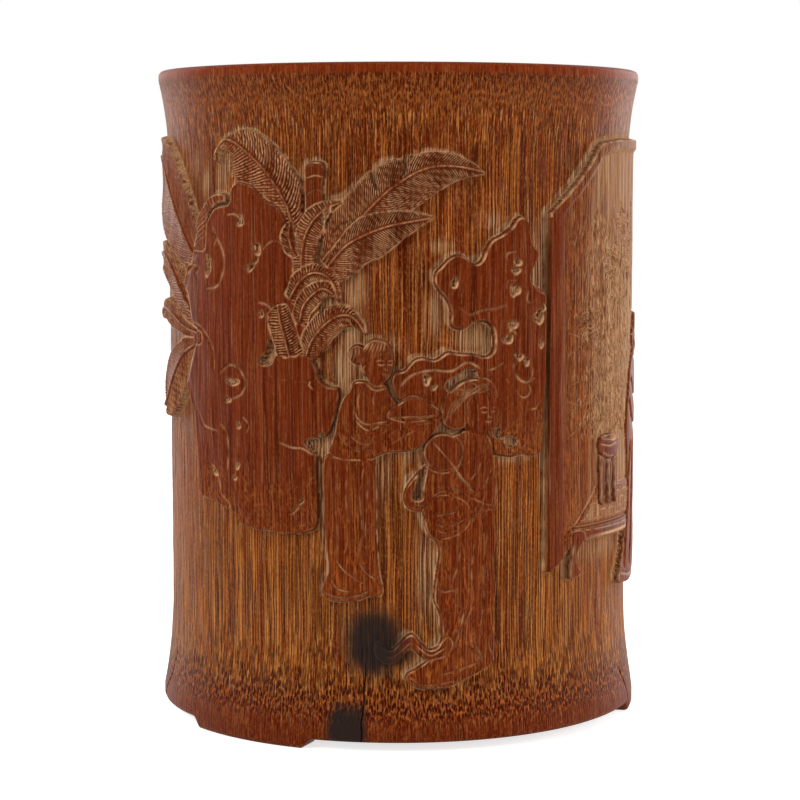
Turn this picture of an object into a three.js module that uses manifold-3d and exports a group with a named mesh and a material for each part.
import * as THREE from 'three';
import { mergeVertices } from 'three/addons/utils/BufferGeometryUtils.js';
import Module from 'manifold-3d';

// A bamboo brush pot, carved in relief. Millimetres, +Z up, the picture's middle faces -Y.
// The origin is on the plane that the feet stand on, at the centre of the pot.

// The culm is the length of bamboo that is the wall, and the cuts are made back from its old skin
const potHeight = 152.8;
const culmRadius = 57.5;
const shoulderCut = 2.3;
const waistCut = 2.5;
const footCut = 0.2;
const rimWall = 9;
const waistWall = 7.5;

// The rim and the foot swell out to the bamboo's old skin
const rimBand = 2.3;
const rimFlare = 20.5;
const footBand = 2.8;
const footFlare = 25;
const flarePower = 2.2;
const outerLipRadius = 1.2;
const innerLipRadius = 1.6;
const footEdge = 0.9;

// The trimmed septum, a ledge inside the foot that carries the floor
const ledgeRecess = 3.8;
const ledgeThickness = 3.5;
const ledgeWidth = 11.5;
const footRimWall = 10.8;

// The three bracket feet, as angles from the front
const footLift = 2.2;
const footAngles = [-38.5, 90.5, 206];
const footLength = 37;
const footWidth = 7;
const footEndCurve = 3;

// The floor and what holds and seals it
const discThickness = 5;
const pegCount = 3;
const pegRadius = 1.5;
const pegDepth = 3;
const beadLeg = 1.8;
const gap = 0.3;

// The picture stands as high as the old skin above the cut-back ground
const reliefHeight = 2.2;
const reliefSunk = 1.5;
const bladeEdge = 1.4;
const panelHeight = 1.6;

// The plain margins below and above the picture, and the heights and radius that it is drawn at
const footMargin = 14;
const rimMargin = 14.3;
const drawnBottom = 14;
const drawnTop = 138.5;
const drawnRadius = 57.2;

// How finely round shapes are stepped
const wallSegments = 72;
const flareSteps = 6;
const pegSegments = 16;
const outlineSteps = 2;
const bladeStep = 5;
const archSteps = 6;
const knobSides = 12;
const knobRings = 8;

// Places that follow from the sizes
const rimRadius = culmRadius;
const shoulderRadius = culmRadius - shoulderCut;
const waistRadius = culmRadius - waistCut;
const footRadius = culmRadius - footCut;
const waistBottom = footLift + footBand + footFlare;
const waistTop = potHeight - rimBand - rimFlare;
const fieldBottom = footMargin;
const fieldTop = potHeight - rimMargin;
const footRimBottom = footLift;
const ledgeBottom = footRimBottom + ledgeRecess;
const ledgeTop = ledgeBottom + ledgeThickness;
const discBottom = ledgeTop + gap;
const discTop = discBottom + discThickness;
const lumenTopRadius = rimRadius - rimWall;
const lumenFloorRadius = waistRadius - waistWall;
const ledgeRadius = lumenFloorRadius - ledgeWidth;
const pegCircle = (ledgeRadius + lumenFloorRadius) / 2;
const pegTop = discBottom + pegDepth;

const wasm = await Module();
wasm.setup();

// Solids are joined and cut in this form, and turned back into geometry at the end
function solidOf(geometry) {
  geometry.deleteAttribute('normal');
  geometry.deleteAttribute('uv');
  const merged = mergeVertices(geometry, 1e-4);
  const corners = merged.index.array;
  const kept = [];
  for (let i = 0; i < corners.length; i += 3) {
    const [a, b, c] = [corners[i], corners[i + 1], corners[i + 2]];
    if (a !== b && b !== c && c !== a) kept.push(a, b, c);
  }
  return new wasm.Manifold(new wasm.Mesh({
    numProp: 3,
    vertProperties: new Float32Array(merged.attributes.position.array),
    triVerts: new Uint32Array(kept),
  }));
}

function geometryOf(solid) {
  const mesh = solid.getMesh();
  const geometry = new THREE.BufferGeometry();
  geometry.setAttribute('position', new THREE.BufferAttribute(mesh.vertProperties, 3));
  geometry.setIndex(new THREE.BufferAttribute(mesh.triVerts, 1));
  geometry.computeVertexNormals();
  return geometry;
}

// A turned shape: the profile is [radius, height] pairs, up the outside and down the inside
function turned(profile, segments = wallSegments) {
  const points = profile.map(([radius, height]) => new THREE.Vector2(radius, height));
  const geometry = new THREE.LatheGeometry(points, segments);
  geometry.rotateX(Math.PI / 2);
  return solidOf(geometry);
}

function turnedRing(profile) {
  return turned([...profile, profile[0]]);
}

// The radius of the plain wall between the flares, run on to any height
function wallRadius(height) {
  const up = (height - waistBottom) / (waistTop - waistBottom);
  return waistRadius + (shoulderRadius - waistRadius) * up;
}

// The radius of the cut-back ground at a height, outside the two bands
function groundRadius(height) {
  const footUp = Math.max(0, Math.min(1, (waistBottom - height) / footFlare));
  const rimUp = Math.max(0, Math.min(1, (height - waistTop) / rimFlare));
  const foot = (footRadius - waistRadius) * footUp ** flarePower;
  const rim = (rimRadius - shoulderRadius) * rimUp ** flarePower;
  return wallRadius(Math.max(waistBottom, Math.min(waistTop, height))) + foot + rim;
}

function wallSolid() {
  const outside = [];
  for (let i = 0; i <= flareSteps; i += 1) {
    const height = waistBottom - footFlare + (footFlare * i) / flareSteps;
    outside.push([groundRadius(height), height]);
  }
  for (let i = 0; i <= flareSteps; i += 1) {
    const height = waistTop + (rimFlare * i) / flareSteps;
    outside.push([groundRadius(height), height]);
  }
  const footRimInner = footRadius - footRimWall;
  return turnedRing([
    [footRimInner, footRimBottom],
    [footRadius - footEdge, footRimBottom],
    [footRadius, footRimBottom + footEdge],
    ...outside,
    [rimRadius, potHeight - outerLipRadius],
    [rimRadius - outerLipRadius * 0.3, potHeight - outerLipRadius * 0.3],
    [rimRadius - outerLipRadius, potHeight],
    [lumenTopRadius + innerLipRadius, potHeight],
    [lumenTopRadius + innerLipRadius * 0.3, potHeight - innerLipRadius * 0.3],
    [lumenTopRadius, potHeight - innerLipRadius],
    [lumenFloorRadius, ledgeTop],
    [ledgeRadius, ledgeTop],
    [ledgeRadius, ledgeBottom],
    [footRimInner, ledgeBottom],
  ]);
}

// A prism through the wall: the outline is a flat Shape seen from outside, across and up, and
// the prism runs outwards along the direction at an angle from the front
function prismAt(shape, angle, near, far) {
  const geometry = new THREE.ExtrudeGeometry(shape, { depth: far - near, bevelEnabled: false });
  geometry.translate(0, 0, near);
  geometry.rotateX(Math.PI / 2);
  geometry.rotateZ(angle);
  return solidOf(geometry);
}

function footSolid(angleDegrees) {
  const half = footLength / 2;
  const sunk = footEdge * 2;
  const shape = new THREE.Shape();
  shape.moveTo(-half, footLift + sunk);
  shape.lineTo(-half, footLift * 0.85);
  shape.quadraticCurveTo(-half + footEndCurve * 0.8, footLift * 0.8, -half + footEndCurve, 0);
  shape.lineTo(half - footEndCurve, 0);
  shape.quadraticCurveTo(half - footEndCurve * 0.8, footLift * 0.8, half, footLift * 0.85);
  shape.lineTo(half, footLift + sunk);
  const prism = prismAt(shape, THREE.MathUtils.degToRad(angleDegrees), 0, footRadius * 2);
  const outer = footRadius - footEdge * 0.5;
  const band = turnedRing([
    [outer - footWidth, -gap],
    [outer, -gap],
    [outer, footLift + sunk],
    [outer - footWidth, footLift + sunk],
  ]);
  return prism.intersect(band);
}

// The picture is drawn in millimetres: across along the skin from the front, and up
function angleAt(across) {
  return across / drawnRadius;
}

function fieldHeight(up) {
  return fieldBottom + ((up - drawnBottom) * (fieldTop - fieldBottom)) / (drawnTop - drawnBottom);
}

// A point of the picture that stands a rise above the ground, or below it
function onWall([across, up], rise) {
  const height = fieldHeight(up);
  const radius = wallRadius(height) + rise;
  const angle = angleAt(across);
  return [radius * Math.sin(angle), -radius * Math.cos(angle), height];
}

// A closed skin over a row of sections, each a loop of as many points, with flat ends
function loft(sections) {
  const count = sections[0].length;
  const corners = sections.flat(2);
  const faces = [];
  for (let s = 0; s + 1 < sections.length; s += 1) {
    for (let i = 0; i < count; i += 1) {
      const a = s * count + i;
      const b = s * count + ((i + 1) % count);
      faces.push(a, b, b + count, a, b + count, a + count);
    }
  }
  const last = (sections.length - 1) * count;
  for (let i = 1; i + 1 < count; i += 1) {
    faces.push(0, i + 1, i);
    faces.push(last, last + i, last + i + 1);
  }
  const geometry = new THREE.BufferGeometry();
  geometry.setAttribute('position', new THREE.Float32BufferAttribute(corners, 3));
  geometry.setIndex(facingOut(corners, faces));
  return solidOf(geometry);
}

// Turns the faces round if they enclose their space from the wrong side
function facingOut(corners, faces) {
  const point = (index) => new THREE.Vector3().fromArray(corners, index * 3);
  let volume = 0;
  for (let i = 0; i < faces.length; i += 3) {
    volume += point(faces[i]).dot(point(faces[i + 1]).cross(point(faces[i + 2])));
  }
  return volume > 0 ? faces : faces.reverse();
}

// A curve through picture points, cut into equal steps
function through(points, steps) {
  const curve = new THREE.SplineCurve(points.map(([x, y]) => new THREE.Vector2(x, y)));
  return curve.getSpacedPoints(steps).map((point) => [point.x, point.y]);
}

function lengthOf(points) {
  return new THREE.SplineCurve(points.map(([x, y]) => new THREE.Vector2(x, y))).getLength();
}

// A leaf or band between two edges, from its root to its tip, with its crest on the rib
function blade(upper, rib, lower, edge = bladeEdge, crest = reliefHeight) {
  const steps = Math.max(3, Math.round(lengthOf(rib) / bladeStep));
  const [top, middle, bottom] = [upper, rib, lower].map((points) => through(points, steps));
  return loft(top.map((point, i) => [
    onWall(point, -reliefSunk),
    onWall(point, edge),
    onWall(middle[i], crest),
    onWall(bottom[i], edge),
    onWall(bottom[i], -reliefSunk),
  ]));
}

// A flat band of one height between two edges
function band(upper, lower, rise) {
  const middle = upper.map(([x, y], i) => [(x + lower[i][0]) / 2, (y + lower[i][1]) / 2]);
  return blade(upper, middle, lower, rise, rise);
}

// A rounded body: each station is its height and its left and right edges
function swell(stations, rise = reliefHeight) {
  return loft(stations.map(([up, left, right]) => {
    const section = [onWall([left, up], -reliefSunk)];
    for (let i = 0; i <= archSteps; i += 1) {
      const side = (2 * i) / archSteps - 1;
      const across = left + ((right - left) * i) / archSteps;
      section.push(onWall([across, up], rise * (1 - 0.75 * Math.abs(side) ** 3)));
    }
    section.push(onWall([right, up], -reliefSunk));
    return section;
  }));
}

// A rounded knob, such as a head, half sunk in the wall
function knob([across, up], halfWidth, halfHeight, rise = reliefHeight) {
  const geometry = new THREE.SphereGeometry(1, knobSides, knobRings);
  const height = fieldHeight(up);
  geometry.scale(halfWidth, rise + reliefSunk, halfHeight);
  geometry.translate(0, reliefSunk - wallRadius(height), height);
  geometry.rotateZ(angleAt(across));
  return solidOf(geometry);
}

// The shell of bamboo between the ground and a rise, which flat-topped forms are cut from
function reliefShell(rise) {
  const low = wallRadius(fieldBottom);
  const high = wallRadius(fieldTop);
  return turnedRing([
    [low - reliefSunk, fieldBottom],
    [low + rise, fieldBottom],
    [high + rise, fieldTop],
    [high - reliefSunk, fieldTop],
  ]);
}

// A flat-topped form with a smooth closed outline and holes through to the ground
function plate(centre, outline, holes = []) {
  const skin = waistRadius + reliefHeight;
  const flat = (points) => {
    const knots = points.map(([x, y]) => new THREE.Vector3(x, y, 0));
    const curve = new THREE.CatmullRomCurve3(knots, true, 'centripetal');
    return curve.getPoints(points.length * outlineSteps).slice(0, -1).map((point) => (
      new THREE.Vector2(skin * Math.sin(angleAt(point.x - centre)), fieldHeight(point.y))
    ));
  };
  const shape = new THREE.Shape(flat(outline));
  for (const hole of holes) shape.holes.push(new THREE.Path(flat(hole)));
  return prismAt(shape, angleAt(centre), skin / 2, skin * 2)
    .intersect(reliefShell(reliefHeight));
}

// A small oval hole, leaning by an angle in degrees
function oval([across, up], halfWidth, halfHeight, lean = 0) {
  const turn = THREE.MathUtils.degToRad(lean);
  const points = [];
  for (let i = 0; i < 6; i += 1) {
    const x = halfWidth * Math.cos((i * Math.PI) / 3);
    const y = halfHeight * Math.sin((i * Math.PI) / 3);
    points.push([across + x * Math.cos(turn) - y * Math.sin(turn),
      up + x * Math.sin(turn) + y * Math.cos(turn)]);
  }
  return points;
}

// The tall garden rock on the left, pierced as such rocks are
function leftRock() {
  const outline = [
    [-42, 122], [-39.5, 126.7], [-34, 125.5], [-28, 121.5], [-24, 116], [-19, 108], [-17.5, 98],
    [-19.5, 88], [-17.5, 83], [-13.5, 81.5], [-14, 74], [-17, 68], [-18.5, 62], [-18.5, 51],
    [-21, 49], [-31, 48.7], [-40, 50], [-43, 53], [-50, 54], [-53.5, 55.5], [-54.5, 66],
    [-57, 78], [-61, 90], [-60, 104], [-55, 111], [-50, 117], [-45, 121],
  ];
  return plate(-39, outline, [
    oval([-49, 108], 1.5, 3),
    oval([-38.3, 118.3], 1.6, 1.2, 30),
    oval([-34.5, 110], 1.3, 3, -35),
    oval([-41, 82], 2.4, 1),
    oval([-39, 72], 1.2, 1),
    oval([-40, 62.5], 1.2, 1.6),
  ]);
}

// The rock on the right, with a shelf that runs behind the two figures
function rightRock() {
  const outline = [
    [8, 105.5], [8.7, 108], [12, 110.8], [15.5, 110.3], [17.5, 109], [20, 112.5], [25, 116],
    [28, 119], [30.5, 118.3], [32, 113], [33.4, 110.5], [31.5, 105.5], [35.6, 102], [35.6, 92],
    [35.4, 78], [35.2, 67], [33, 65.6], [24, 66], [21, 70], [20.5, 80], [13, 80], [5, 79],
    [0, 81.5], [-1, 85.3], [4, 88.5], [8, 88], [11, 89.7], [19, 88.7], [21.8, 91.5], [20.5, 95.7],
    [15, 94.3], [11.7, 95.2], [11, 100.5],
  ];
  return plate(18, outline, [
    oval([12.5, 104.7], 0.9, 1.3),
    oval([27.2, 108.8], 1.1, 2),
    oval([26.6, 102.8], 1.1, 1.5),
    oval([25.4, 94], 1.2, 2.4, 12),
    oval([28.7, 88], 1.6, 0.9, -15),
    oval([33.3, 98], 1, 2, -35),
    oval([30, 83], 2, 0.8),
  ]);
}

// The plantain's leaves in the middle, each from its root to its tip
function middleLeaves() {
  return [
    blade([[-22, 115], [-22.5, 126], [-27, 133], [-33, 137.4], [-39, 138.3], [-45.5, 135.5], [-47.2, 131.5]],
      [[-23.5, 115], [-25.5, 122], [-30, 128.5], [-36, 133.2], [-41, 135.6], [-45.5, 134.4], [-46.9, 131.3]],
      [[-25, 115], [-27, 119.5], [-31, 123.2], [-36, 126.6], [-39.7, 128.3], [-42.5, 133.5], [-46.4, 131]]),
    blade([[-18, 112], [-14, 121], [-9, 126.8], [-3, 131], [5, 133], [13, 132.8], [19.8, 128.9]],
      [[-17, 110], [-12, 115.5], [-6, 121.3], [0, 126.3], [7, 129.8], [13.5, 130], [20, 128.7]],
      [[-15.5, 109], [-9, 113], [-3, 117], [3.5, 121], [9, 124.7], [14, 127.2], [19.8, 128.5]]),
    blade([[-17, 111], [-12, 115.5], [-8, 118.8], [-3, 120.3], [2, 120.4], [7.6, 119.3]],
      [[-15.5, 109.5], [-11, 113.2], [-6, 115.9], [-1.5, 117.3], [3, 118.2], [7.8, 119]],
      [[-14, 104.5], [-10, 107], [-6, 109.6], [-1, 112.7], [3.5, 116.3], [7.6, 118.8]]),
    blade([[-24, 108], [-23.5, 117], [-20.5, 120.8], [-16.5, 122.6], [-12.5, 122.7]],
      [[-21.8, 108], [-20.8, 114.5], [-18.8, 118.7], [-16, 121], [-12.7, 122.4]],
      [[-19, 108], [-18, 113], [-16.5, 117], [-14.8, 119.8], [-12.8, 122]]),
    blade([[-26, 103], [-22.5, 108], [-18, 109], [-14.3, 106.5], [-13.1, 100.5]],
      [[-25, 101.5], [-21.5, 105.5], [-17.5, 106.7], [-15, 105], [-13.4, 100.4]],
      [[-23.5, 100], [-20.5, 103], [-17.8, 104.3], [-15.7, 103.5], [-13.8, 100.3]]),
    blade([[-22, 91], [-19.5, 96.5], [-15.5, 99.4], [-11, 99.6], [-7.6, 96], [-7.3, 93.6]],
      [[-20.5, 89.5], [-18, 93.5], [-14.5, 96.5], [-11, 97.5], [-8.4, 95.6], [-7.6, 93.6]],
      [[-18.5, 87.5], [-16.5, 90.5], [-13.5, 93.5], [-11, 94.8], [-9, 94.7], [-7.9, 93.6]]),
    blade([[-20, 87.5], [-22.5, 92], [-24.5, 97], [-26, 100]],
      [[-23.5, 87.5], [-25.5, 92], [-27, 96], [-28.5, 99.5]],
      [[-27.5, 88], [-29.5, 92.5], [-30.6, 96.5], [-30.2, 99.3]]),
    band([[-21.5, 118], [-21.3, 124], [-21.4, 130.6]], [[-16.8, 118], [-16.8, 124], [-16.4, 130.6]],
      reliefHeight),
  ];
}

// The leaves at the left that reach round the side
function leftLeaves() {
  return [
    blade([[-55, 117], [-60, 126], [-67, 133.2], [-75, 136.7], [-86, 137], [-97, 133]],
      [[-57, 113.5], [-62, 121], [-68.5, 127.5], [-76, 132.5], [-86, 134.2], [-97.3, 132.4]],
      [[-60, 110], [-65, 114.5], [-71, 118.5], [-78, 123], [-87, 128], [-97.2, 131.8]]),
    blade([[-60, 99], [-64, 106.5], [-70, 110.7], [-79, 112.7], [-90, 111], [-99, 105]],
      [[-60, 96], [-65, 101], [-71, 105.8], [-79, 109.2], [-90, 109], [-99.2, 104.5]],
      [[-58, 92], [-64, 95.5], [-71, 99.8], [-79, 103.6], [-89, 105.5], [-99, 104]]),
    blade([[-54, 93], [-60, 96.5], [-68, 99], [-78, 99], [-88, 96]],
      [[-54, 91.7], [-61, 93.6], [-69, 95.6], [-78, 96.8], [-88.2, 95.6]],
      [[-54, 90.5], [-61, 90.6], [-69, 91.6], [-78, 94], [-88, 95.2]]),
    blade([[-54, 91], [-63, 89.7], [-71, 87.5], [-77, 82], [-80.5, 75.5]],
      [[-55, 89], [-61, 87], [-67, 83], [-73, 77.5], [-78.5, 73]],
      [[-55.5, 87], [-58, 82], [-63, 76], [-69, 72.3], [-77, 71.2]]),
    blade([[-55.5, 112], [-53.5, 119.5], [-48, 124], [-42.2, 123.2]],
      [[-52.8, 112], [-51.7, 117.8], [-47.5, 122.6], [-42.2, 122.8]],
      [[-50.2, 112], [-50, 116], [-47, 121], [-42.2, 122.4]]),
  ];
}

// The boy on the left of the pair, turned to the lady
function boy() {
  return [
    swell([[33.9, -15, -8], [36, -17.8, -4.5], [40, -16.6, -4.2], [50, -17, -5], [60, -17, -5.3], [68, -15.5, -6]], 1.8),
    swell([[66, -15.5, 2.5], [70, -15, 6], [74, -14.3, 9], [77.5, -13, 7], [80, -11.3, 3], [83.3, -8.5, -4]]),
    knob([-5, 87.3], 4.3, 5),
    knob([-9.2, 88.8], 2.3, 2.4, reliefHeight * 0.8),
  ];
}

// The lady, with a round fan and a bundle held at the waist
function lady() {
  return [
    swell([[14.2, 4, 12], [17, 1.7, 18.5], [20, 5.5, 21.8], [26, 9.4, 22], [34, 8.8, 22.3], [42, 8.5, 22.7],
      [48, 8.6, 22.7], [53, 3.8, 22.7], [58, 1.4, 22.8], [63, 4, 22.4], [67, 8, 21.7], [71.5, 12, 19.5]]),
    knob([15.3, 77.2], 5.5, 6.1),
    knob([10, 67.5], 4.7, 4.7, reliefHeight * 0.95),
    knob([10.5, 53.2], 5.2, 4.6),
    blade([[11, 26], [7.5, 23.8], [3, 26.9], [-1, 23.6], [-4.8, 24.4]],
      [[11, 24], [7.5, 22.5], [3, 25.2], [-1.5, 22], [-5, 23.6]],
      [[11, 22], [7.5, 21.2], [3, 23.5], [-2, 20.3], [-5.2, 22.8]]),
  ];
}

// The standing screen, in two leaves with a raised frame, that runs round the right side
function screen() {
  const leftEdge = 36.5;
  const fold = 55;
  const rightEdge = 112;
  const frame = 4;
  const top = [[leftEdge, 120], [40, 122.7], [50, 131], [fold, 135.5], [62, 136.6], [80, 136.8], [rightEdge, 136.8]];
  const low = [[leftEdge, 39], [40, 40], [46, 44], [fold, 46], [62, 46], [80, 46], [rightEdge, 46]];
  return [
    band(top, low, panelHeight),
    band([[leftEdge, 119.8], [leftEdge, 80], [leftEdge, 39.2]],
      [[leftEdge + frame, 121.5], [leftEdge + frame, 80], [leftEdge + frame, 40.2]], reliefHeight),
    band([[fold, 135.3], [70, 136.7], [90, 136.7], [rightEdge, 136.7]],
      [[fold, 135.3 - frame], [70, 136.7 - frame], [90, 136.7 - frame], [rightEdge, 136.7 - frame]], reliefHeight),
    band([[rightEdge, 136.7], [rightEdge, 90], [rightEdge, 46]],
      [[rightEdge - frame, 136.7], [rightEdge - frame, 90], [rightEdge - frame, 46]], reliefHeight),
  ];
}

// The low table in front of the screen, and the tripod burner that stands on it
function table() {
  const left = 44.5;
  const right = 96;
  const footing = 36.5;
  const leg = 3;
  const pieces = [
    band([[left, 48.2], [60, 48], [78, 48], [right, 48]], [[left, 44.6], [60, 44.5], [78, 44.5], [right, 44.5]],
      reliefHeight),
    swell([[63.4, 55, 64.5], [64.8, 54, 65.2], [68.2, 54.6, 64.4]]),
  ];
  for (const place of [left, right - leg]) {
    pieces.push(band([[place, 46], [place - 0.5, 41], [place - 0.8, footing]],
      [[place + leg, 46], [place + leg * 0.6, 41], [place + leg, footing]], reliefHeight));
  }
  for (const place of [56, 59.6, 63]) {
    pieces.push(swell([[52.8, place - 1, place + 1], [58, place - 1.6, place + 1.6],
      [63.8, place - 1.6, place + 1.6]], reliefHeight * 0.9));
  }
  return pieces;
}

// The attendant at the table's far end, just beyond the side of the pot
function attendant() {
  return [
    swell([[31.5, 69, 96], [35, 67.5, 97.5], [45, 72, 96.5], [60, 74, 95], [72, 72.5, 96.5], [80, 74, 94],
      [86, 78, 90]]),
    knob([84, 90], 4.8, 5.4),
  ];
}

function reliefPieces() {
  return [
    leftRock(), rightRock(), ...middleLeaves(), ...leftLeaves(), ...boy(), ...lady(),
    ...screen(), ...table(), ...attendant(),
  ];
}

function pegPlaces() {
  const places = [];
  for (let i = 0; i < pegCount; i += 1) {
    places.push(((i + 0.5) * Math.PI * 2) / pegCount);
  }
  return places;
}

function cylinderAt(angle, radius, bottom, top) {
  const geometry = new THREE.CylinderGeometry(radius, radius, top - bottom, pegSegments);
  geometry.rotateX(Math.PI / 2);
  geometry.translate(pegCircle * Math.sin(angle), -pegCircle * Math.cos(angle), (top + bottom) / 2);
  return solidOf(geometry);
}

function culmSolid() {
  let culm = wallSolid();
  for (const angle of footAngles) culm = culm.add(footSolid(angle));
  for (const piece of reliefPieces()) culm = culm.add(piece);
  for (const angle of pegPlaces()) {
    culm = culm.subtract(cylinderAt(angle, pegRadius + gap, ledgeBottom - gap, ledgeTop + gap));
  }
  return culm;
}

function discSolid() {
  const radius = lumenFloorRadius - gap;
  let disc = turned([[0, discBottom], [radius, discBottom], [radius, discTop], [0, discTop]]);
  for (const angle of pegPlaces()) {
    disc = disc.subtract(cylinderAt(angle, pegRadius + gap, discBottom - gap, pegTop + gap));
  }
  return disc;
}

function beadSolid() {
  const outer = lumenFloorRadius - gap;
  const bottom = discTop + gap;
  return turnedRing([[outer - beadLeg, bottom], [outer, bottom], [outer, bottom + beadLeg]]);
}

function material(colour, roughness) {
  return new THREE.MeshStandardMaterial({ color: colour, roughness, metalness: 0 });
}

const culmWood = material(0x8a4a26, 0.45);
const floorWood = material(0x7a4526, 0.6);
const pegWood = material(0xa9713c, 0.55);
const lacquer = material(0x2a120a, 0.3);

const pot = new THREE.Group();

function addPiece(name, solid, finish) {
  const mesh = new THREE.Mesh(geometryOf(solid), finish);
  mesh.name = name;
  pot.add(mesh);
}

addPiece('culm', culmSolid(), culmWood);
addPiece('floor_disc', discSolid(), floorWood);
addPiece('lacquer_bead', beadSolid(), lacquer);
pegPlaces().forEach((angle, index) => {
  addPiece(`floor_peg_${index + 1}`, cylinderAt(angle, pegRadius, ledgeBottom, pegTop), pegWood);
});

export default pot;
